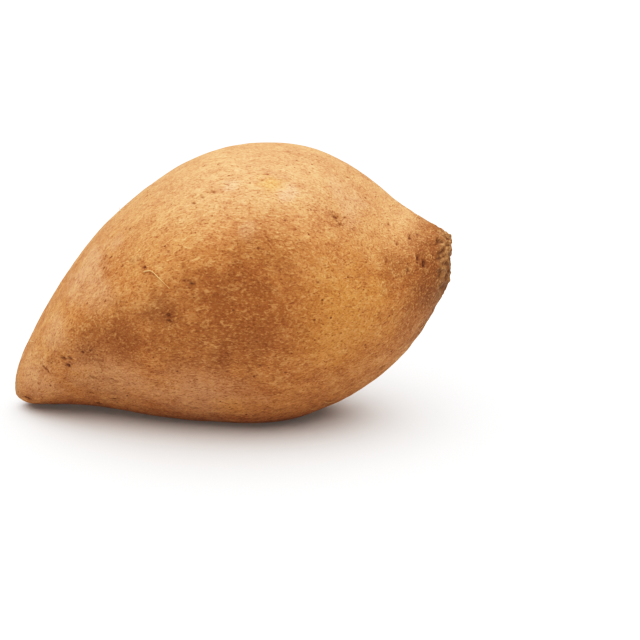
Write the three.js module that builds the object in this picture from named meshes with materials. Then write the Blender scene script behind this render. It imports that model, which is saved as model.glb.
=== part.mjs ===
// A whole sweet potato: one plump storage root that lies on a small flat spot of its belly.
// Millimetres, +Z up. The origin is on the resting surface, under the middle of the root's box.
// The root lies along X. Its tail droops almost to the surface at -X, and its stem end is held up at +X.
import * as THREE from "three";

// Driving dimensions
const LENGTH = 145; // from the tail to the stem end
const HEIGHT = 93; // of the thickest section, before the belly is pressed flat
const WIDTH = 89; // of the thickest section, from front to back
const SCAR_DIAMETER = 13; // of the broken stem end
const SCAR_DEPTH = 1.6; // how far the middle of that scar is sunken

// Fineness of the faceted skin
const RINGS = 60;
const SIDES = 54;
const SCAR_RINGS = 3;

// Soft ridges that run along the root, with hollows between them
const RIDGES = 3;
const RIDGE_HEIGHT = 0.05; // as a share of the radius

// The root is a row of sections at even steps of an angle u, from 0 at the tail to STEM_END at the scar.
// A section's half sizes are its fullness times sin u, so that the tail closes in a round nose.
//   fullness  as a share of the half height and half width
//   lift      height of the section's middle, as a share of HEIGHT
//   sway      how far that middle lies behind the X axis, as a share of WIDTH
//   crest     direction of the front ridge, in degrees upwards from the front
const STEM_END = THREE.MathUtils.degToRad(165);
const SECTIONS = [
  { fullness: 0.66, lift: 0.048, sway: -0.01, crest: -20 },
  { fullness: 0.668, lift: 0.161, sway: -0.02, crest: -5 },
  { fullness: 0.806, lift: 0.349, sway: -0.015, crest: 12 },
  { fullness: 0.952, lift: 0.475, sway: -0.01, crest: 25 },
  { fullness: 0.993, lift: 0.501, sway: 0, crest: 22 },
  { fullness: 0.803, lift: 0.491, sway: 0.02, crest: 5 },
  { fullness: SCAR_DIAMETER / HEIGHT / Math.sin(STEM_END), lift: 0.588, sway: 0.05, crest: -10 },
];

// Smooth curve through one measure of the sections, read at angle u
function along(measure) {
  const stations = SECTIONS.map((_, i) => (i * STEM_END) / (SECTIONS.length - 1));
  const values = SECTIONS.map((section) => section[measure]);
  const curve = new THREE.CubicInterpolant(stations, values, 1);
  return (u) => curve.evaluate(u)[0];
}

const fullness = along("fullness");
const lift = along("lift");
const sway = along("sway");
const crest = along("crest");

// How the ridges raise the skin and the hollows lower it, in direction phi from the front upwards
function swelling(u, phi) {
  const fromCrest = phi - THREE.MathUtils.degToRad(crest(u));
  return 1 + RIDGE_HEIGHT * Math.cos(RIDGES * fromCrest);
}

// A point of the skin, with the belly pressed flat where it rests
function skinPoint(u, phi, inset = 1) {
  const reach = (inset * fullness(u) * Math.sin(u) * swelling(u, phi)) / 2;
  const travel = (1 - Math.cos(u)) / (1 - Math.cos(STEM_END));
  return new THREE.Vector3(
    LENGTH * (travel - 0.5),
    WIDTH * (sway(u) - reach * Math.cos(phi)),
    Math.max(0, HEIGHT * (lift(u) + reach * Math.sin(phi))),
  );
}

// A point of the scar, from its rim at inset 1 to its sunken middle at inset 0
function scarPoint(phi, inset) {
  const sunken = SCAR_DEPTH * (1 - inset * inset);
  return skinPoint(STEM_END, phi, inset).add(new THREE.Vector3(-sunken, 0, 0));
}

// A ring of points round the root
function ringOf(point) {
  return Array.from({ length: SIDES }, (_, side) => point((side * 2 * Math.PI) / SIDES));
}

// Rings from the tail to the stem end, then inwards over the scar
function rootRings() {
  const rings = [];
  for (let i = 1; i <= RINGS; i++) {
    rings.push(ringOf((phi) => skinPoint((i * STEM_END) / RINGS, phi)));
  }
  for (let i = 1; i < SCAR_RINGS; i++) {
    rings.push(ringOf((phi) => scarPoint(phi, 1 - i / SCAR_RINGS)));
  }
  return rings;
}

// One closed skin over the rings, with a point at the tail and one in the middle of the scar
function rootGeometry() {
  const rings = rootRings();
  const points = [skinPoint(0, 0), ...rings.flat(), scarPoint(0, 0)];
  const last = rings.length - 1;
  const at = (ring, side) => 1 + ring * SIDES + (side % SIDES);
  const faces = [];
  for (let side = 0; side < SIDES; side++) {
    faces.push(0, at(0, side), at(0, side + 1));
    for (let ring = 0; ring < last; ring++) {
      const [a, b] = [at(ring, side), at(ring, side + 1)];
      const [c, d] = [at(ring + 1, side), at(ring + 1, side + 1)];
      faces.push(a, d, b, a, c, d);
    }
    faces.push(points.length - 1, at(last, side + 1), at(last, side));
  }
  const geometry = new THREE.BufferGeometry().setFromPoints(points).setIndex(faces);
  geometry.computeBoundingBox();
  const middle = geometry.boundingBox.getCenter(new THREE.Vector3());
  return geometry.translate(-middle.x, -middle.y, 0);
}

const skin = new THREE.MeshStandardMaterial({ color: 0xb9794a, roughness: 0.72, metalness: 0 });

const sweetPotato = new THREE.Mesh(rootGeometry(), skin);
sweetPotato.name = "sweet_potato";

const root = new THREE.Group();
root.add(sweetPotato);

export default root;
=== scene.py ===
"""Dresses the whole sweet potato: its fine skin, its rootlets, the studio and the camera.

Field values are millimetres and degrees unless their names say otherwise. Blender's own unit is the metre.
"""
import logging
import math
import random
from collections.abc import Mapping, Sequence
from dataclasses import dataclass, field
from enum import Enum

import bmesh
import bpy
import numpy as np
from mathutils import Matrix, Vector, noise
from mathutils.bvhtree import BVHTree

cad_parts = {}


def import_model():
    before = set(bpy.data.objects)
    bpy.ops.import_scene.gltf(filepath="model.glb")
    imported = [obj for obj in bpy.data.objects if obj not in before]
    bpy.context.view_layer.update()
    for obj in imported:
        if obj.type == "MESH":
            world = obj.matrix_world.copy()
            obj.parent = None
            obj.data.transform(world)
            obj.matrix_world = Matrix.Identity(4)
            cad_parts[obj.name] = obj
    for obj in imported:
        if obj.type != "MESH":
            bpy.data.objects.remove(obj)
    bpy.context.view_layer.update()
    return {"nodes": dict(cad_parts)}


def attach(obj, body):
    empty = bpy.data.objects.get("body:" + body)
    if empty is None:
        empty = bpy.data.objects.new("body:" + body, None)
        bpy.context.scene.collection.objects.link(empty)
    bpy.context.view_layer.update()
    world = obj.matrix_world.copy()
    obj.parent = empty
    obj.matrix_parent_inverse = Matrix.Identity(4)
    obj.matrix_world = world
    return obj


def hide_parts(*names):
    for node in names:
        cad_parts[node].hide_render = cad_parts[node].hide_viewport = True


LOG = logging.getLogger("sweet_potato")
MM = 0.001
NODE = "sweet_potato"
BODY = "root"


class Layer(Enum):
    """A measure kept at each point of the skin, for its material to read."""

    GRAIN = "grain"  # the place on the root, as if its bent middle line were straight, in metres
    PIT = "pit"  # dark floors of root scars and pores
    CORK = "cork"  # rough broken tissue at the two ends
    RUSSET = "russet"  # redder skin of the neck
    GOLD_AND_REFLECTION = "gold"  # yellower skin, and a painted orange reflection low on the right
    BROWN = "brown"  # browner skin, and painted shade over the front
    BLOOM = "bloom"  # pale skin with bloom, partly painted light on what faces up and low on the front


SHADES = tuple(layer for layer in Layer if layer is not Layer.GRAIN)


def linear(hex_colour: str) -> tuple[float, float, float, float]:
    """Turns an sRGB colour to linear light.

    Args:
        hex_colour: six hex digits after a hash sign.

    Returns:
        Red, green, blue and an alpha of 1.
    """
    parts = [int(hex_colour[i : i + 2], 16) / 255 for i in (1, 3, 5)]
    red, green, blue = (c / 12.92 if c <= 0.04045 else ((c + 0.055) / 1.055) ** 2.4 for c in parts)
    return red, green, blue, 1.0


def per_metre(size: float) -> float:
    """Gives a texture's scale for features of this size in millimetres."""
    return 1 / (size * MM)


def add_node(
    tree: bpy.types.NodeTree,
    kind: str,
    settings: Mapping[str, object] | None = None,
    sockets: Mapping[str, object] | None = None,
) -> bpy.types.Node:
    """Adds a shader node with its settings and links.

    Args:
        tree: the material's or world's node tree.
        kind: the node's type, without the leading "ShaderNode".
        settings: properties of the node.
        sockets: an input's identifier with its constant, or with the output that feeds it.

    Returns:
        The new node.
    """
    node = tree.nodes.new(f"ShaderNode{kind}")
    for name, value in (settings or {}).items():
        setattr(node, name, value)
    inputs = {socket.identifier: socket for socket in node.inputs}
    for name, value in (sockets or {}).items():
        if isinstance(value, bpy.types.NodeSocket):
            tree.links.new(value, inputs[name])
        else:
            inputs[name].default_value = value
    return node


def new_material(name: str) -> tuple[bpy.types.Material, bpy.types.NodeTree]:
    """Makes an empty node material.

    Args:
        name: the material's name.

    Returns:
        The material and its cleared node tree.
    """
    material = bpy.data.materials.new(name)
    material.use_nodes = True
    material.node_tree.nodes.clear()
    return material, material.node_tree


def smoothstep(low: float, high: float, value: np.ndarray) -> np.ndarray:
    """Rises smoothly from 0 at low to 1 at high.

    Args:
        low: where the rise starts.
        high: where it ends, which may lie below low for a fall.
        value: what is measured.

    Returns:
        The share of the rise for each value.
    """
    share = np.clip((value - low) / (high - low), 0, 1)
    return share * share * (3 - 2 * share)


def noise_over(points: np.ndarray, size: Sequence[float], seed: int) -> np.ndarray:
    """Reads smooth noise at each point.

    Args:
        points: places in millimetres, one per row.
        size: length of the noise's features along each axis.
        seed: a number that picks the pattern.

    Returns:
        Values from about -1 to 1.
    """
    offset = 17.3 * seed
    scaled = points / np.asarray(size) + offset
    return np.array([noise.noise(Vector(row)) for row in scaled.tolist()])


class Pattern(Enum):
    """A noise pattern in the skin's cork."""

    PATCHES = "patches"  # broad clouds of lighter and browner skin
    MOTTLE = "mottle"  # smaller clouds
    WRINKLES = "wrinkles"  # short wavy wrinkles
    FLECKS = "flecks"  # fine crisp grain
    SPECKS = "specks"  # dark dots of the smallest pores


@dataclass(frozen=True)
class Weave:
    """The measures of one noise pattern."""

    pattern: Pattern
    width: float  # of its features, round the root
    stretch: float  # how much longer they are along the root
    detail: float  # finer octaves
    distortion: float  # how wavy they are
    height: float  # of the relief that they raise


@dataclass(frozen=True)
class Tint:
    """A colour that shows where a pattern or a layer is strong."""

    colour: str
    source: Pattern | Layer
    low: float  # value at which the colour starts to show
    high: float  # value at which it shows most, which may lie below low
    strength: float


@dataclass(frozen=True)
class CorkySkin:
    """Cured periderm of an orange-fleshed sweet potato: thin dry cork, finely wrinkled along the root.

    The eye sees a dull tan ground mottled with brown, a fine grain of light and dark flecks, dark floors in
    the root scars, and a weak gloss that pales the skin under the lamp.
    """

    name: str = "sweet_potato_periderm"
    ground: str = "#ba8757"
    weaves: tuple[Weave, ...] = (
        Weave(Pattern.PATCHES, 16.0, 1.4, 2, 0.3, 0.0),
        Weave(Pattern.MOTTLE, 3.6, 1.35, 4, 0.6, 0.2),
        Weave(Pattern.WRINKLES, 1.4, 2.0, 3, 1.4, 0.36),
        # Drawn a little coarser than the real grain, so that it shows
        Weave(Pattern.FLECKS, 0.5, 1.7, 3, 0.5, 0.13),
    )
    tints: tuple[Tint, ...] = (
        Tint("#a36d40", Pattern.PATCHES, 0.36, 0.64, 0.68),
        Tint("#cca173", Pattern.MOTTLE, 0.45, 0.3, 0.4),
        Tint("#97623a", Pattern.MOTTLE, 0.5, 0.68, 0.5),
        # Pale bloom, partly painted light on upward faces and low on the front
        Tint("#cfa688", Layer.BLOOM, 0, 1, 1),
        # Yellower skin, also a painted orange reflection
        Tint("#c6914e", Layer.GOLD_AND_REFLECTION, 0, 1, 1),
        # Browner skin, also painted shade on the front
        Tint("#8e5d31", Layer.BROWN, 0, 1, 1),
        Tint("#82552f", Layer.RUSSET, 0, 1, 1),
        Tint("#8f6c49", Layer.CORK, 0, 1, 1),
        Tint("#d8ae7e", Pattern.WRINKLES, 0.53, 0.7, 0.36),
        Tint("#8a5730", Pattern.WRINKLES, 0.46, 0.3, 0.42),
        Tint("#d6ab79", Pattern.FLECKS, 0.54, 0.72, 0.38),
        Tint("#6f4322", Pattern.FLECKS, 0.46, 0.3, 0.6),
        Tint("#6b4222", Pattern.SPECKS, 0, 1, 0.75),
        Tint("#5a3315", Layer.PIT, 0, 1, 0.9),
    )
    speck_spacing: float = 2.4
    speck_share: float = 0.3  # of the places that have a speck
    speck_reach: float = 0.2  # radius of the largest as a share of the spacing
    roughness: tuple[float, float] = (0.62, 0.8)
    ior: float = 1.45

    def material(self) -> bpy.types.Material:
        """Builds the skin's material.

        Returns:
            The node material.
        """
        material, tree = new_material(self.name)
        place = add_node(tree, "Attribute", {"attribute_name": Layer.GRAIN.value}).outputs["Vector"]
        sources = self._sources(tree, place)
        span = {"From Min": 0.3, "From Max": 0.7, "To Min": self.roughness[1], "To Max": self.roughness[0]}
        roughness = add_node(tree, "MapRange", sockets={"Value": sources[Pattern.FLECKS], **span})
        shader = add_node(
            tree,
            "BsdfPrincipled",
            sockets={
                "Base Color": self._colour(tree, sources),
                "Roughness": roughness.outputs["Result"],
                "IOR": self.ior,
                "Normal": self._relief(tree, sources),
            },
        )
        add_node(tree, "OutputMaterial", sockets={"Surface": shader.outputs["BSDF"]})
        return material

    def _sources(
        self, tree: bpy.types.NodeTree, place: bpy.types.NodeSocket
    ) -> dict[Pattern | Layer, bpy.types.NodeSocket]:
        """Reads the mesh's layers and draws the patterns.

        Args:
            tree: the material's node tree.
            place: the place on the root.

        Returns:
            The value of each layer and pattern.
        """
        sources = {}
        for layer in SHADES:
            sources[layer] = add_node(tree, "Attribute", {"attribute_name": layer.value}).outputs["Fac"]
        for weave in self.weaves:
            scale = (1 / weave.stretch, 1, 1)
            drawn = add_node(tree, "Mapping", sockets={"Vector": place, "Scale": scale})
            sockets = {
                "Vector": drawn.outputs["Vector"],
                "Scale": per_metre(weave.width),
                "Detail": weave.detail,
                "Distortion": weave.distortion,
            }
            noisy = add_node(tree, "TexNoise", sockets=sockets)
            sources[weave.pattern] = noisy.outputs["Fac"]
        sources[Pattern.SPECKS] = self._specks(tree, place)
        return sources

    def _specks(self, tree: bpy.types.NodeTree, place: bpy.types.NodeSocket) -> bpy.types.NodeSocket:
        """Draws round specks, one in each cell that chance picks.

        Args:
            tree: the material's node tree.
            place: the place on the root.

        Returns:
            A value of 1 inside a speck and 0 elsewhere.
        """
        spaced = {"Vector": place, "Scale": per_metre(self.speck_spacing)}
        cells = add_node(tree, "TexVoronoi", sockets=spaced)
        chance = add_node(tree, "SeparateColor", sockets={"Color": cells.outputs["Color"]}).outputs["Red"]
        span = {"From Min": 1 - self.speck_share, "From Max": 1.0, "To Min": 0.0, "To Max": self.speck_reach}
        reach = add_node(tree, "MapRange", sockets={"Value": chance, **span}).outputs["Result"]
        inside = {"Value": cells.outputs["Distance"], "Value_001": reach}
        return add_node(tree, "Math", {"operation": "LESS_THAN"}, inside).outputs["Value"]

    def _colour(
        self, tree: bpy.types.NodeTree, sources: Mapping[Pattern | Layer, bpy.types.NodeSocket]
    ) -> bpy.types.NodeSocket:
        """Lays the tints over the ground colour, one after the other.

        Args:
            tree: the material's node tree.
            sources: the value of each layer and pattern.

        Returns:
            The skin's colour.
        """
        colour = linear(self.ground)
        for tint in self.tints:
            span = {"From Min": tint.low, "From Max": tint.high, "To Min": 0.0, "To Max": tint.strength}
            share = add_node(tree, "MapRange", sockets={"Value": sources[tint.source], **span})
            mix = {"Factor_Float": share.outputs["Result"], "A_Color": colour, "B_Color": linear(tint.colour)}
            colour = add_node(tree, "Mix", {"data_type": "RGBA"}, mix).outputs[2]
        return colour

    def _relief(
        self, tree: bpy.types.NodeTree, sources: Mapping[Pattern | Layer, bpy.types.NodeSocket]
    ) -> bpy.types.NodeSocket:
        """Raises the grain that is finer than the mesh.

        Args:
            tree: the material's node tree.
            sources: the value of each layer and pattern.

        Returns:
            The bumped normal.
        """
        height = 0.0
        for weave in self.weaves:
            raised = {"Value": sources[weave.pattern], "Value_001": weave.height, "Value_002": height}
            height = add_node(tree, "Math", {"operation": "MULTIPLY_ADD"}, raised).outputs["Value"]
        return add_node(tree, "Bump", sockets={"Height": height, "Distance": MM}).outputs["Normal"]


@dataclass(frozen=True)
class DryRootlet:
    """Thin dried side root: straw-coloured, matt and a little darker where it leaves the skin."""

    name: str = "dried_rootlet"
    straw: str = "#d8b98a"
    brown: str = "#a87c50"
    streak: float = 3.0  # size of its brown streaks
    roughness: float = 0.75

    def material(self) -> bpy.types.Material:
        """Builds the rootlets' material.

        Returns:
            The node material.
        """
        material, tree = new_material(self.name)
        place = add_node(tree, "TexCoord").outputs["Object"]
        sockets = {"Vector": place, "Scale": per_metre(self.streak), "Detail": 2.0}
        streak = add_node(tree, "TexNoise", sockets=sockets).outputs["Fac"]
        mix = {"Factor_Float": streak, "A_Color": linear(self.brown), "B_Color": linear(self.straw)}
        colour = add_node(tree, "Mix", {"data_type": "RGBA"}, mix).outputs[2]
        shader = add_node(tree, "BsdfPrincipled", sockets={"Base Color": colour, "Roughness": self.roughness})
        add_node(tree, "OutputMaterial", sockets={"Surface": shader.outputs["BSDF"]})
        return material


@dataclass(frozen=True)
class LightTable:
    """Matt white acrylic that is lit from below, so that shadows on it stay pale."""

    name: str = "lit_acrylic"
    white: str = "#d2d2d2"
    glow: float = 0.1
    roughness: float = 0.9

    def material(self) -> bpy.types.Material:
        """Builds the table's material.

        Returns:
            The node material.
        """
        material, tree = new_material(self.name)
        sockets = {"Base Color": linear(self.white), "Roughness": self.roughness}
        lit = {"Emission Color": linear(self.white), "Emission Strength": self.glow}
        shader = add_node(tree, "BsdfPrincipled", sockets={**sockets, **lit})
        add_node(tree, "OutputMaterial", sockets={"Surface": shader.outputs["BSDF"]})
        return material


@dataclass
class RootAxis:
    """The bent middle line of the root, worked out from the sections of its solid."""

    points: np.ndarray  # the solid's corners in millimetres
    stations: int = 40
    reach: float = 2.5  # half the thickness of the slice that gives one section
    degree: int = 6

    def __post_init__(self) -> None:
        """Fits the middle line."""
        self.tail = float(self.points[:, 0].min())
        self.stem = float(self.points[:, 0].max())
        places = np.linspace(self.tail + self.reach, self.stem - self.reach, self.stations)
        middles = []
        for place in places:
            section = self.points[np.abs(self.points[:, 0] - place) < self.reach]
            middles.append((section.min(axis=0) + section.max(axis=0)) / 2)
        middles = np.array(middles)
        self.across = np.polynomial.Polynomial.fit(places, middles[:, 1], self.degree)
        self.height = np.polynomial.Polynomial.fit(places, middles[:, 2], self.degree)

    def straighten(self, points: np.ndarray) -> np.ndarray:
        """Measures points from the middle line.

        Args:
            points: places in millimetres, one per row.

        Returns:
            The same, with the middle line laid along X.
        """
        along = points[:, 0]
        return np.column_stack((along, points[:, 1] - self.across(along), points[:, 2] - self.height(along)))

    def ray(self, along: float, turn: float) -> tuple[Vector, Vector]:
        """Gives a ray from the middle line to a spot on the skin.

        Args:
            along: distance from the tail in millimetres.
            turn: degrees upwards from the front, round the root.

        Returns:
            Where the ray starts, in millimetres, and its direction.
        """
        place = self.tail + along
        angle = math.radians(turn)
        start = Vector((place, float(self.across(place)), float(self.height(place))))
        return start, Vector((0, -math.cos(angle), math.sin(angle)))


@dataclass(frozen=True)
class Mark:
    """A root scar, pore or crease in the skin."""

    along: float  # from the tail
    turn: float  # degrees upwards from the front
    length: float  # along the root
    width: float  # round the root
    depth: float
    dark: float = 0.8  # how much soil colour its floor has
    tilt: float = 0.0  # of its length away from the root's own direction, towards the top
    lip: float = 0.25  # height of its raised rim as a share of the depth


@dataclass(frozen=True)
class Fold:
    """A soft ridge, hollow or crease along a path on the skin."""

    path: tuple[tuple[float, float], ...]  # distance from the tail, and degrees upwards from the front
    width: float
    height: float  # below zero for a hollow


@dataclass(frozen=True)
class Zone:
    """A soft patch of skin with a colour of its own, or of painted light or shade."""

    layer: Layer
    along: float
    turn: float
    radius: float
    strength: float


@dataclass
class RootSkin:
    """The root's skin, made fine over the solid and worked with its natural relief."""

    finish: CorkySkin = field(default_factory=CorkySkin)
    name: str = "sweet_potato_skin"
    voxel: float = 0.78
    smoothing: int = 5
    lumps: tuple[float, float] = (34.0, 0.5)  # size and height
    dents: tuple[float, float] = (11.0, 0.2)
    furrows: tuple[float, float, float] = (30.0, 6.0, 0.1)  # length, width and height
    peel: tuple[float, float, float] = (4.5, 2.2, 0.08)
    rings: tuple[float, float, float] = (2.2, 9.0, 0.2)  # spacing, run and height of the rings at both ends
    rings_from_stem: tuple[float, float] = (26.0, 5.0)  # where they start, and where they are full
    rings_from_tail: tuple[float, float] = (24.0, 5.0)
    neck_furrows: tuple[float, float, float] = (16.0, 3.0, 0.3)  # length, width and height
    furrows_from_stem: tuple[float, float] = (20.0, 4.0)
    russet_from_stem: tuple[float, float] = (17.0, 4.0)
    waver: float = 8.0  # size of the noise by which rings and edges wander
    scar_fibres: tuple[float, float, float] = (4.0, 1.5, 0.8)  # length, width and height
    scar_rim: tuple[float, float] = (6.2, 1.1)  # radius and breadth of the dark rim of the stem scar
    scar_from_stem: tuple[float, float] = (5.2, 2.2)
    rim_from_stem: tuple[float, float] = (4.0, 2.0)
    cork_from_tail: tuple[float, float] = (5.0, 1.0)
    fine_stem: float = 7.0  # length of the stem end that is divided again
    mark_reach: float = 2.5  # how far a mark is felt, as a share of its size
    pores: int = 150
    scars_per_row: int = 4
    scar_rows: tuple[float, ...] = (118.0, 160.0, 205.0, 252.0, 300.0)  # turns of the hidden rows
    seed: int = 11
    folds: tuple[Fold, ...] = (
        # Ridge from the tail up across the front, with the hollow under it
        Fold(
            (
                *((5, 22), (14, 18), (23, 11), (33, 8), (40, 9)),
                *((50, 14), (60, 19), (72, 26), (87, 34), (112, 26)),
            ),
            7.5,
            1.6,
        ),
        Fold(((18, -13), (33, -11), (42, -8), (52, -2), (62, 3), (75, 8), (90, 13), (104, 11)), 7.5, -1.0),
        # Crease that runs up towards the crown, and its lip
        Fold(((66.9, 49.7), (70.9, 53.2), (74.6, 55.4), (80.1, 61.4)), 1.1, -0.3),
        Fold(((67.5, 52.5), (71.5, 56), (75, 58)), 1.4, 0.2),
        # Wrinkle beside the tail
        Fold(((13.5, -13), (15.2, -10.4), (18.9, -6.3), (21.8, -6.6)), 0.8, -0.35),
    )
    marks: tuple[Mark, ...] = (
        # Cluster of scars right of the top, with a dash above it
        Mark(110.5, 51.2, 3.0, 2.2, 0.55, dark=0.6),
        Mark(111.2, 49.6, 1.4, 1.2, 0.3, dark=0.7),
        Mark(112.2, 48.2, 1.5, 1.0, 0.35, dark=0.6),
        Mark(113.2, 53.6, 1.1, 0.9, 0.35, dark=0.65),
        Mark(109.3, 53, 1.4, 0.9, 0.25, dark=0.5),
        Mark(112, 86.9, 2.0, 0.9, 0.3, dark=0.6, tilt=-30),
        # Specks near the crown
        Mark(93, 88.7, 1.8, 1.0, 0.3, dark=0.7, tilt=-20),
        Mark(89.5, 87.3, 1.1, 0.8, 0.2, dark=0.5),
        Mark(87.9, 60.4, 1.1, 0.9, 0.25, dark=0.75),
        Mark(88.6, 64.6, 1.0, 0.8, 0.2, dark=0.6),
        # Dark specks in the crease
        Mark(67.6, 50.3, 1.8, 1.0, 0.3, dark=0.75, tilt=25),
        Mark(70.2, 52.6, 1.6, 0.9, 0.25, dark=0.65, tilt=25),
        Mark(73.4, 54.7, 2.0, 0.9, 0.25, dark=0.7, tilt=20),
        Mark(77.2, 58.3, 1.6, 0.8, 0.2, dark=0.55, tilt=25),
        # Scars on the left shoulder
        Mark(48.8, 75.2, 2.0, 1.2, 0.3, dark=0.5),
        Mark(46.3, 52.7, 1.4, 1.0, 0.25, dark=0.55),
        Mark(44.8, 55, 1.1, 0.9, 0.2, dark=0.5),
        Mark(49.1, 32.3, 2.6, 2.2, 0.4, dark=0.2, lip=0.6),
        Mark(51.5, 31.7, 2.0, 1.7, 0.35, dark=0.3, lip=0.5),
        # Pits on the front
        Mark(54.2, 27.1, 1.4, 1.1, 0.4),
        Mark(69.4, 16.9, 1.7, 1.3, 0.45),
        Mark(67.4, 18.4, 1.2, 0.9, 0.3, dark=0.65),
        Mark(61.6, 5, 1.9, 1.7, 0.5, dark=0.3, lip=0.8),
        Mark(61.5, 2.4, 1.7, 1.5, 0.5, dark=0.3, lip=0.8),
        Mark(67, 23.6, 1.0, 0.9, 0.2, dark=0.5),
        Mark(61.9, 30.5, 1.0, 0.9, 0.2, dark=0.5),
        # Scars beside the tail
        Mark(24.3, -4.4, 1.9, 1.4, 0.45, dark=0.75),
        Mark(26.6, -6.3, 1.7, 1.3, 0.4, dark=0.75),
        Mark(25.5, -11.7, 2.1, 1.6, 0.5),
        Mark(31.4, -4.7, 1.4, 1.2, 0.35, dark=0.65),
        Mark(17, -8.6, 5.0, 0.8, 0.15, dark=0.6, tilt=38),
        Mark(6.7, -44.7, 3.2, 2.4, 0.7, dark=0.95),
        Mark(1.6, 12, 2.4, 2.0, 0.4, dark=0.5),
        # Dashes and specks low on the front
        Mark(30.7, -44.9, 2.6, 0.9, 0.25, dark=0.65),
        Mark(38.6, -53.2, 2.6, 0.9, 0.25, dark=0.65),
        Mark(33.4, -27.3, 2.4, 0.9, 0.25, dark=0.6),
        Mark(40.2, -29.7, 1.8, 0.8, 0.2, dark=0.5),
        Mark(55.1, -32.7, 1.6, 0.9, 0.2, dark=0.5),
        Mark(66.1, -54.5, 1.3, 1.1, 0.3, dark=0.7),
        Mark(89.1, -21.6, 1.2, 0.9, 0.2, dark=0.6),
        Mark(90.8, -42.2, 1.9, 0.9, 0.25, dark=0.65),
        # Creases and spots of the neck
        Mark(125.8, 66.7, 1.2, 1.1, 0.3, dark=0.55),
        Mark(132.1, 61.1, 1.1, 2.1, 0.4, dark=0.7),
        Mark(134.3, 69.7, 1.0, 1.7, 0.35, dark=0.6),
        Mark(128.7, 50.4, 1.0, 1.6, 0.3, dark=0.5),
        Mark(126.1, 34.4, 1.0, 1.7, 0.3, dark=0.5),
        Mark(132.5, 28, 1.0, 2.2, 0.4, dark=0.65),
        Mark(135.2, 38.8, 1.2, 2.6, 0.5, dark=0.75),
        Mark(137.1, 32.6, 1.3, 2.8, 0.55, dark=0.8),
        Mark(140.8, 68.3, 1.5, 2.4, 0.5, dark=0.75),
    )
    zones: tuple[Zone, ...] = (
        Zone(Layer.RUSSET, 131, 30, 10, 0.55),
        Zone(Layer.RUSSET, 132, 230, 14, 0.5),
        Zone(Layer.RUSSET, 59, 8, 7, 0.4),
        Zone(Layer.RUSSET, 75.4, -17.5, 6, 0.35),
        Zone(Layer.RUSSET, 34, -9, 9, 0.4),
        Zone(Layer.RUSSET, 36, -36, 12, 0.3),
        Zone(Layer.RUSSET, 60, 230, 16, 0.35),
        Zone(Layer.GOLD_AND_REFLECTION, 90.4, 58.6, 5, 0.45),
        Zone(Layer.GOLD_AND_REFLECTION, 139, 81, 5, 0.5),
        # Painted reflection: warm orange light low on the right, as from orange flesh beside the root
        Zone(Layer.GOLD_AND_REFLECTION, 114, -2, 22, 0.4),
        # Yellower skin
        Zone(Layer.GOLD_AND_REFLECTION, 78, -52, 7, 0.35),
        Zone(Layer.GOLD_AND_REFLECTION, 70, 190, 24, 0.35),
        # Browner skin, partly painted shade over the front, which faces away from the overhead light
        Zone(Layer.BROWN, 84, 0, 24, 0.9),
        Zone(Layer.BROWN, 92, 30, 14, 0.55),
        Zone(Layer.BROWN, 62, -6, 17, 0.7),
        Zone(Layer.BROWN, 45, -2, 13, 0.85),
        Zone(Layer.BROWN, 36, 1, 10, 0.7),
        # Browner skin on the back
        Zone(Layer.BROWN, 95, 185, 26, 0.5),
        Zone(Layer.BROWN, 50, 150, 14, 0.35),
        Zone(Layer.BLOOM, 95.6, 55.3, 5.5, 0.6),
        Zone(Layer.BLOOM, 78.2, 57.6, 5, 0.5),
        Zone(Layer.BLOOM, 85.7, 35.8, 4, 0.45),
        Zone(Layer.BLOOM, 42.3, 49.9, 5, 0.4),
        # Painted light from the table, low on the front
        Zone(Layer.BLOOM, 40, -30, 18, 0.35),
        # Pale patches
        Zone(Layer.BLOOM, 113, 68, 13, 0.4),
        Zone(Layer.BLOOM, 31, 48, 15, 0.45),
        # Painted light from the table, low near the tail and on the front
        Zone(Layer.BLOOM, 12, -14, 12, 0.32),
        Zone(Layer.BLOOM, 68, -44, 20, 0.4),
        # More pale patches
        Zone(Layer.BLOOM, 22, 20, 8, 0.35),
        Zone(Layer.BLOOM, 39, 24, 8, 0.35),
        Zone(Layer.BLOOM, 100, 140, 12, 0.4),
        Zone(Layer.BLOOM, 48, 200, 10, 0.35),
    )
    dust_and_top_light: float = 0.28  # of pale bloom on what faces up, partly painted light from overhead

    def build(self, solid: bpy.types.Object, axis: RootAxis) -> bpy.types.Object:
        """Builds and dresses the skin.

        Args:
            solid: the CAD node that the skin stands for.
            axis: the root's middle line.

        Returns:
            The skin's object.
        """
        self.draw = random.Random(self.seed)
        self.axis = axis
        mesh = self._fine_mesh(solid)
        corners = [tuple(vertex.co / MM) for vertex in mesh.vertices]
        self.tree = BVHTree.FromPolygons(corners, [tuple(face.vertices) for face in mesh.polygons])
        scars = (*self.marks, *self._hidden_scars())
        self._refine(mesh, scars)
        self._read(mesh)
        rise = self._broad_relief() + self._end_relief() + self._torn_scar()
        for fold in self.folds:
            rise += self._bend(fold)
        for mark in (*scars, *self._scattered_pores()):
            rise += self._press(mark)
        # Painted light: what faces up is paler, partly bloom and partly painted light from overhead
        self.layers[Layer.BLOOM] = self.dust_and_top_light * smoothstep(0.35, 0.95, self.normals[:, 2])
        for zone in self.zones:
            self._tint(zone)
        moved = self.points + self.normals * rise[:, None]
        moved[:, 2] = np.maximum(moved[:, 2], 0)
        mesh.vertices.foreach_set("co", (moved * MM).ravel())
        self._keep_layers(mesh)
        mesh.update()
        skin = bpy.data.objects.new(self.name, mesh)
        bpy.context.collection.objects.link(skin)
        mesh.materials.clear()
        mesh.materials.append(self.finish.material())
        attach(skin, BODY)
        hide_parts(NODE)
        return skin

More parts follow.
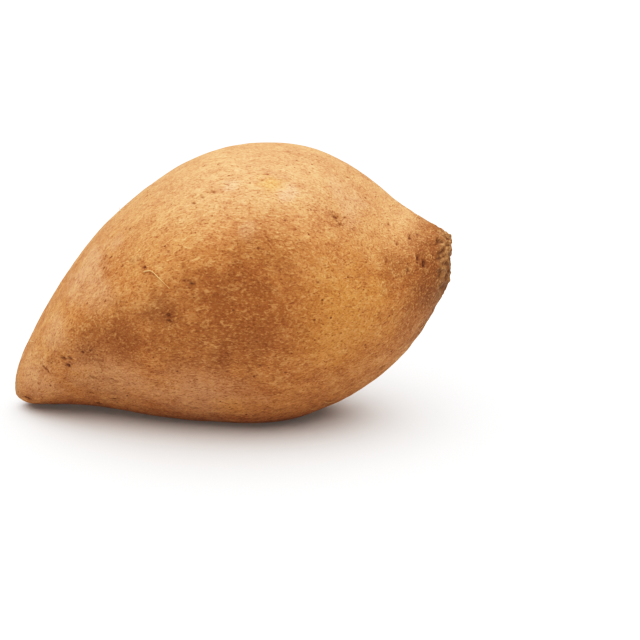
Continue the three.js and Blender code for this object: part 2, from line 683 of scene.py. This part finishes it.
    def _refine(self, mesh: bpy.types.Mesh, marks: Sequence[Mark]) -> None:
        """Divides the mesh again round the marks and the stem scar, so that their edges are crisp.

        Args:
            mesh: the skin's mesh.
            marks: the marks.
        """
        shape = bmesh.new()
        shape.from_mesh(mesh)
        edges = list(shape.edges)
        middles = np.array([tuple((edge.verts[0].co + edge.verts[1].co) / (2 * MM)) for edge in edges])
        near = middles[:, 0] > self.axis.stem - self.fine_stem
        for mark in marks:
            spot, _ = self._spot(mark.along, mark.turn)
            near |= ((middles - spot) ** 2).sum(axis=1) < max(mark.length, mark.width) ** 2
        chosen = [edges[i] for i in np.flatnonzero(near)]
        bmesh.ops.subdivide_edges(shape, edges=chosen, cuts=1, use_grid_fill=True)
        shape.to_mesh(mesh)
        shape.free()

    def _read(self, mesh: bpy.types.Mesh) -> None:
        """Reads the points to work on.

        Args:
            mesh: the skin's mesh.
        """
        count = len(mesh.vertices)
        self.points = np.empty(count * 3)
        self.normals = np.empty(count * 3)
        mesh.vertices.foreach_get("co", self.points)
        mesh.vertices.foreach_get("normal", self.normals)
        self.points = self.points.reshape(-1, 3) / MM
        self.normals = self.normals.reshape(-1, 3)
        self.straight = self.axis.straighten(self.points)
        self.from_stem = self.axis.stem - self.points[:, 0]
        self.from_tail = self.points[:, 0] - self.axis.tail
        self.layers = {layer: np.zeros(count) for layer in SHADES}

    def _fine_mesh(self, solid: bpy.types.Object) -> bpy.types.Mesh:
        """Copies the solid's mesh, rounds its facets and divides it evenly.

        Args:
            solid: the CAD node.

        Returns:
            A fine mesh of the same shape.
        """
        rough = bpy.data.objects.new("rough_skin", solid.data.copy())
        bpy.context.collection.objects.link(rough)
        weld = rough.modifiers.new("weld", "WELD")
        weld.merge_threshold = 0.01 * MM
        rounded = rough.modifiers.new("rounded", "SUBSURF")
        rounded.levels = 2
        rounded.render_levels = 2
        even = rough.modifiers.new("even", "REMESH")
        even.mode = "VOXEL"
        even.voxel_size = self.voxel * MM
        even.use_smooth_shade = True
        smooth = rough.modifiers.new("smooth", "SMOOTH")
        smooth.factor = 0.5
        smooth.iterations = self.smoothing
        graph = bpy.context.evaluated_depsgraph_get()
        mesh = bpy.data.meshes.new_from_object(rough.evaluated_get(graph))
        mesh.name = self.name
        bpy.data.objects.remove(rough)
        return mesh

    def _broad_relief(self) -> np.ndarray:
        """Gives the lumps, dents, furrows and peel of the whole skin, in millimetres."""
        size, height = self.lumps
        rise = height * noise_over(self.points, (size,) * 3, 1)
        size, height = self.dents
        rise += height * noise_over(self.points, (size,) * 3, 2)
        for seed, (length, width, height) in ((3, self.furrows), (4, self.peel)):
            rise += height * noise_over(self.straight, (length, width, width), seed)
        return rise

    def _end_relief(self) -> np.ndarray:
        """Gives the rings near both ends and the furrows of the neck, in millimetres."""
        wander = 1.5 * noise_over(self.points, (self.waver,) * 3, 5)
        wavy = self.straight + np.outer(wander, (1, 0, 0))
        spacing, run, height = self.rings
        rings = height * noise_over(wavy, (spacing, run, run), 6)
        near = smoothstep(*self.rings_from_stem, self.from_stem)
        near += 0.8 * smoothstep(*self.rings_from_tail, self.from_tail)
        length, width, height = self.neck_furrows
        furrows = height * noise_over(self.straight, (length, width, width), 10)
        return near * rings + smoothstep(*self.furrows_from_stem, self.from_stem) * furrows

    def _torn_scar(self) -> np.ndarray:
        """Tears the stem scar, in millimetres, and notes its cork, its dark places and the neck's russet."""
        wander = noise_over(self.points, (self.waver,) * 3, 5)
        length, width, height = self.scar_fibres
        torn = noise_over(self.straight, (length, width, width), 7)
        scar = smoothstep(*self.scar_from_stem, self.from_stem + 1.6 * wander + 0.8 * torn)
        tail_cork = 0.45 * smoothstep(*self.cork_from_tail, self.from_tail + 1.5 * wander)
        radius, breadth = self.scar_rim
        from_rim = np.hypot(self.straight[:, 1], self.straight[:, 2]) - radius + 1.2 * wander
        rim = np.exp(-((from_rim / breadth) ** 2)) * smoothstep(*self.rim_from_stem, self.from_stem)
        gaps = scar * smoothstep(0.1, 0.5, -torn)
        self.layers[Layer.CORK] = np.maximum(scar, tail_cork)
        self.layers[Layer.PIT] = np.maximum(0.7 * gaps, 0.6 * rim)
        ragged = self.from_stem + 3 * wander + 2 * torn
        self.layers[Layer.RUSSET] = smoothstep(*self.russet_from_stem, ragged)
        return scar * height * torn

    def _bend(self, fold: Fold) -> np.ndarray:
        """Raises or hollows the skin along a fold's path.

        Args:
            fold: the fold.

        Returns:
            How far each point rises, in millimetres.
        """
        along, turn = np.array(fold.path).T
        steps = np.linspace(0, 1, 8 * len(along))
        distance = np.full(len(self.points), np.inf)
        place = np.zeros(len(self.points))
        for step in steps:
            here = along[0] + step * (along[-1] - along[0])
            spot, _ = self._spot(here, float(np.interp(here, along, turn)))
            to_spot = np.linalg.norm(self.points - spot, axis=1)
            place = np.where(to_spot < distance, step, place)
            distance = np.minimum(distance, to_spot)
        fade = smoothstep(0, 0.2, place) * smoothstep(1, 0.8, place)
        return fold.height * fade * np.exp(-((distance / fold.width) ** 2))

    def _spot(self, along: float, turn: float) -> tuple[np.ndarray, np.ndarray]:
        """Finds a spot on the skin.

        Args:
            along: distance from the tail.
            turn: degrees upwards from the front.

        Returns:
            The spot and the skin's normal there.
        """
        spot, normal, _, _ = self.tree.ray_cast(*self.axis.ray(along, turn))
        return np.array(spot), np.array(normal)

    def _press(self, mark: Mark) -> np.ndarray:
        """Presses a mark into the skin and darkens its floor.

        Args:
            mark: the mark.

        Returns:
            How far each point rises, in millimetres.
        """
        spot, normal = self._spot(mark.along, mark.turn)
        rise = np.zeros(len(self.points))
        offset = self.points - spot
        near = np.flatnonzero((offset**2).sum(axis=1) < (self.mark_reach * max(mark.length, mark.width)) ** 2)
        offset = offset[near]
        forward = np.array((1.0, 0.0, 0.0)) - normal * normal[0]
        forward /= np.linalg.norm(forward)
        upward = np.cross(forward, normal)
        tilt = math.radians(mark.tilt)
        ahead = offset @ (math.cos(tilt) * forward + math.sin(tilt) * upward)
        aside = offset @ (math.cos(tilt) * upward - math.sin(tilt) * forward)
        ragged = 1 + 0.6 * noise_over(self.points[near], (0.9, 0.9, 0.9), 8)
        radius = ragged * np.hypot(ahead / mark.length, aside / mark.width) * 2
        floor = np.exp(-1.6 * radius**2)
        rim = np.exp(-(((radius - 1.45) / 0.5) ** 2))
        rise[near] = mark.depth * (mark.lip * rim - floor)
        pit = self.layers[Layer.PIT]
        shade = 0.75 * smoothstep(1.1, 0.3, radius) + 0.25 * smoothstep(2.4, 0.8, radius)
        pit[near] = np.maximum(pit[near], mark.dark * shade)
        return rise

    def _hidden_scars(self) -> list[Mark]:
        """Places root scars in rows along the back and the belly, as side roots grow."""
        length = self.axis.stem - self.axis.tail
        scars = []
        for turn in self.scar_rows:
            for step in range(self.scars_per_row):
                along = length * (step + self.draw.uniform(0.6, 1.2)) / (self.scars_per_row + 0.8)
                size = self.draw.uniform(1.3, 2.8)
                scars.append(
                    Mark(
                        along=along,
                        turn=turn + self.draw.uniform(-9, 9),
                        length=size,
                        width=size * self.draw.uniform(0.5, 0.9),
                        depth=self.draw.uniform(0.25, 0.5),
                        dark=self.draw.uniform(0.5, 0.85),
                        tilt=self.draw.uniform(-30, 30),
                    )
                )
        return scars

    def _scattered_pores(self) -> list[Mark]:
        """Scatters small pores over the whole skin."""
        length = self.axis.stem - self.axis.tail
        return [
            Mark(
                along=length * self.draw.uniform(0.05, 0.97),
                turn=self.draw.uniform(0, 360),
                length=self.draw.uniform(0.7, 1.5),
                width=self.draw.uniform(0.5, 0.8),
                depth=self.draw.uniform(0.08, 0.18),
                dark=self.draw.uniform(0.1, 0.45),
                tilt=self.draw.uniform(-20, 20),
            )
            for _ in range(self.pores)
        ]

    def _tint(self, zone: Zone) -> None:
        """Adds a soft patch of colour to its layer.

        Args:
            zone: the patch.
        """
        spot, _ = self._spot(zone.along, zone.turn)
        distance = np.linalg.norm(self.points - spot, axis=1) / zone.radius
        distance += 0.35 * noise_over(self.points, (6, 6, 6), 9)
        distance += 0.3 * noise_over(self.points, (2.2, 1.4, 1.4), 12)
        layer = self.layers[zone.layer]
        layer[:] = np.maximum(layer, zone.strength * smoothstep(1.2, 0.2, distance))

    def _keep_layers(self, mesh: bpy.types.Mesh) -> None:
        """Stores the layers on the mesh's points.

        Args:
            mesh: the skin's mesh.
        """
        grain = mesh.attributes.new(Layer.GRAIN.value, "FLOAT_VECTOR", "POINT")
        grain.data.foreach_set("vector", (self.straight * MM).ravel())
        for layer, values in self.layers.items():
            shade = mesh.attributes.new(layer.value, "FLOAT", "POINT")
            shade.data.foreach_set("value", np.clip(values, 0, 1))


@dataclass(frozen=True)
class Rootlet:
    """One dried rootlet that lies on the skin or stands off it."""

    path: tuple[tuple[float, float, float], ...]  # distance from the tail, turn, and height above the skin
    thickness: float  # where it starts


@dataclass
class Rootlets:
    """The few dried rootlets and hairs that are left on the skin."""

    finish: DryRootlet = field(default_factory=DryRootlet)
    name: str = "rootlets"
    sides: int = 6
    steps: int = 6  # rings between two points of a path
    tip: float = 0.35  # thickness at the tip as a share of that at the start
    stray: int = 16
    seed: int = 5
    placed: tuple[Rootlet, ...] = (
        Rootlet(
            ((53.6, 25.5, -0.2), (54.8, 25, 0.4), (56.8, 24.2, 0.4), (60, 19.8, 0.35), (62.6, 16, 0)),
            0.5,
        ),
        Rootlet(((19.6, 72, -0.2), (19.2, 75, 0.5), (18.4, 80, 0.9)), 0.3),
        Rootlet(((10.5, 36, -0.2), (10, 38, 0.5), (9.3, 42, 0.8)), 0.3),
        Rootlet(((38.8, 86, -0.2), (38.2, 90, 0.6), (37.4, 96, 1.0)), 0.35),
        Rootlet(((125.6, 90, -0.2), (126, 93, 0.8), (126.8, 97, 1.1)), 0.45),
        Rootlet(((133.1, 90, -0.2), (133.4, 95, 0.6), (134, 100, 0.9)), 0.35),
        Rootlet(((106, -64, -0.2), (107, -67, 0.4), (108.4, -68, 0.6)), 0.4),
        Rootlet(((101, -65, -0.2), (102.2, -68, 0.3), (103.2, -70, 0.4)), 0.35),
    )

    def build(self, skin: bpy.types.Object, axis: RootAxis) -> bpy.types.Object:
        """Builds and dresses the rootlets.

        Args:
            skin: the root's finished skin.
            axis: the root's middle line.

        Returns:
            The rootlets' object.
        """
        points = [tuple(vertex.co / MM) for vertex in skin.data.vertices]
        tree = BVHTree.FromPolygons(points, [tuple(face.vertices) for face in skin.data.polygons])
        shape = bmesh.new()
        for rootlet in (*self.placed, *self._strays(axis)):
            self._tube(shape, self._course(rootlet, tree, axis), rootlet.thickness)
        mesh = bpy.data.meshes.new(self.name)
        shape.to_mesh(mesh)
        shape.free()
        mesh.shade_smooth()
        mesh.materials.append(self.finish.material())
        rootlets = bpy.data.objects.new(self.name, mesh)
        bpy.context.collection.objects.link(rootlets)
        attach(rootlets, BODY)
        return rootlets

    def _strays(self, axis: RootAxis) -> list[Rootlet]:
        """Scatters short hairs over the upper skin and the back.

        Args:
            axis: the root's middle line.

        Returns:
            The hairs.
        """
        draw = random.Random(self.seed)
        length = axis.stem - axis.tail
        hairs = []
        for _ in range(self.stray):
            along = length * draw.uniform(0.08, 0.95)
            turn = draw.uniform(95, 320)
            reach = draw.uniform(1.5, 4.5)
            lean = draw.uniform(-1, 1)
            path = (
                (along, turn, -0.2),
                (along + 0.4 * reach, turn + lean, 0.35),
                (along + reach, turn + 3 * lean, draw.uniform(0.1, 0.6)),
            )
            hairs.append(Rootlet(path, draw.uniform(0.25, 0.4)))
        return hairs

    def _course(self, rootlet: Rootlet, tree: BVHTree, axis: RootAxis) -> list[Vector]:
        """Lays a rootlet's path on the skin.

        Args:
            rootlet: the rootlet.
            tree: the skin's faces, in millimetres.
            axis: the root's middle line.

        Returns:
            Points of a smooth course in millimetres.
        """
        knots = []
        for along, turn, height in rootlet.path:
            spot, normal, _, _ = tree.ray_cast(*axis.ray(along, turn))
            knots.append(spot + normal * height)
        knots = [2 * knots[0] - knots[1], *knots, 2 * knots[-1] - knots[-2]]
        course = []
        for before, start, end, after in zip(knots, knots[1:], knots[2:], knots[3:]):
            for step in range(self.steps):
                t = step / self.steps
                bend = (2 * before - 5 * start + 4 * end - after) * t * t
                twist = (3 * start - before - 3 * end + after) * t**3
                course.append((2 * start + (end - before) * t + bend + twist) / 2)
        return [*course, knots[-2]]

    def _tube(self, shape: bmesh.types.BMesh, course: list[Vector], thickness: float) -> None:
        """Adds a closed, tapered tube along a course.

        Args:
            shape: what the tube is added to.
            course: points in millimetres.
            thickness: where the course starts.
        """
        rings = []
        for i, point in enumerate(course):
            heading = course[min(i + 1, len(course) - 1)] - course[max(i - 1, 0)]
            turned = heading.to_track_quat("Z", "X")
            radius = thickness / 2 * (1 - (1 - self.tip) * i / (len(course) - 1))
            ring = []
            for side in range(self.sides):
                angle = math.tau * side / self.sides
                offset = Vector((math.cos(angle), math.sin(angle), 0)) * radius
                corner = point + turned @ offset
                corner.z = max(corner.z, 0.0)
                ring.append(shape.verts.new(corner * MM))
            rings.append(ring)
        for lower, upper in zip(rings, rings[1:]):
            for side in range(self.sides):
                following = (side + 1) % self.sides
                shape.faces.new((lower[side], lower[following], upper[following], upper[side]))
        shape.faces.new(reversed(rings[0]))
        shape.faces.new(rings[-1])


@dataclass
class Studio:
    """A light table, a wide soft light overhead, dim surroundings and the camera."""

    table: LightTable = field(default_factory=LightTable)
    floor_size_m: float = 6.0
    light_from: tuple[float, float, float] = (0.0, -0.05, 1.0)
    light_spread: float = 110.0  # across the soft light, as the root sees it
    light_strength: float = 3.9
    surroundings: str = "#ffffff"
    surroundings_strength: float = 0.05
    azimuth: float = 7.0  # of the camera, from the front towards the stem end
    elevation: float = 17.0
    distance: float = 592.0
    aim_right: float = 30.2  # from the root's origin, as the camera sees it
    aim_up: float = 31.0
    lens: float = 100.0
    # Scene light and the picture's light: a bright, contrasty print on which the table is pure white
    tone: tuple[tuple[float, float], ...] = (
        (0.05, 0.028),
        (0.1, 0.09),
        (0.15, 0.175),
        (0.2, 0.272),
        (0.3, 0.472),
        (0.4, 0.648),
        (0.5, 0.788),
        (0.6, 0.887),
        (0.7, 0.961),
        (0.78, 1.0),
    )

    def build(self) -> None:
        """Builds the floor, the light, the camera and the tone of the picture."""
        self._lay_floor()
        self._light()
        self._place_camera()
        self._set_tone()

    def _lay_floor(self) -> None:
        """Lays the table's top under the root."""
        shape = bmesh.new()
        bmesh.ops.create_grid(shape, x_segments=8, y_segments=8, size=self.floor_size_m / 2)
        mesh = bpy.data.meshes.new("table_top")
        shape.to_mesh(mesh)
        shape.free()
        mesh.materials.append(self.table.material())
        floor = bpy.data.objects.new("table_top", mesh)
        bpy.context.collection.objects.link(floor)

    def _light(self) -> None:
        """Sets the overhead light and the surroundings."""
        lamp = bpy.data.lights.new("overhead_light", "SUN")
        lamp.energy = self.light_strength
        lamp.angle = math.radians(self.light_spread)
        holder = bpy.data.objects.new("overhead_light", lamp)
        holder.rotation_euler = (-Vector(self.light_from)).to_track_quat("-Z", "Y").to_euler()
        bpy.context.collection.objects.link(holder)
        world = bpy.data.worlds.new("dim_surroundings")
        world.use_nodes = True
        world.node_tree.nodes.clear()
        sockets = {"Color": linear(self.surroundings), "Strength": self.surroundings_strength}
        background = add_node(world.node_tree, "Background", sockets=sockets)
        add_node(world.node_tree, "OutputWorld", sockets={"Surface": background.outputs["Background"]})
        bpy.context.scene.world = world

    def _place_camera(self) -> None:
        """Sets the camera at the viewing angle."""
        azimuth = math.radians(self.azimuth)
        elevation = math.radians(self.elevation)
        right = Vector((math.cos(azimuth), math.sin(azimuth), 0))
        back = Vector((math.sin(azimuth), -math.cos(azimuth), 0)) * math.cos(elevation)
        back.z = math.sin(elevation)
        up = back.cross(right)
        lens = bpy.data.cameras.new("camera")
        lens.lens = self.lens
        lens.clip_start = 0.01
        camera = bpy.data.objects.new("camera", lens)
        turned = Matrix((right, up, back)).transposed().to_4x4()
        place = right * self.aim_right + up * self.aim_up + back * self.distance
        camera.matrix_world = Matrix.Translation(place * MM) @ turned
        bpy.context.collection.objects.link(camera)
        bpy.context.scene.camera = camera

    def _set_tone(self) -> None:
        """Sets how scene light becomes the picture's tones."""
        view = bpy.context.scene.view_settings
        view.view_transform = "Standard"
        view.use_curve_mapping = True
        for place in self.tone:
            view.curve_mapping.curves[3].points.new(*place)
        view.curve_mapping.update()


def main() -> None:
    """Builds every piece in order."""
    logging.basicConfig(level=logging.INFO, format="%(name)s: %(message)s")
    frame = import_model()
    solid = frame["nodes"][NODE]
    corners = np.array([tuple(vertex.co) for vertex in solid.data.vertices]) / MM
    axis = RootAxis(corners)
    skin = RootSkin().build(solid, axis)
    LOG.info("%s: %d faces", skin.name, len(skin.data.polygons))
    rootlets = Rootlets().build(skin, axis)
    LOG.info("%s: %d faces", rootlets.name, len(rootlets.data.polygons))
    Studio().build()
    LOG.info("studio: floor, light and camera")


if __name__ == "__main__":
    main()
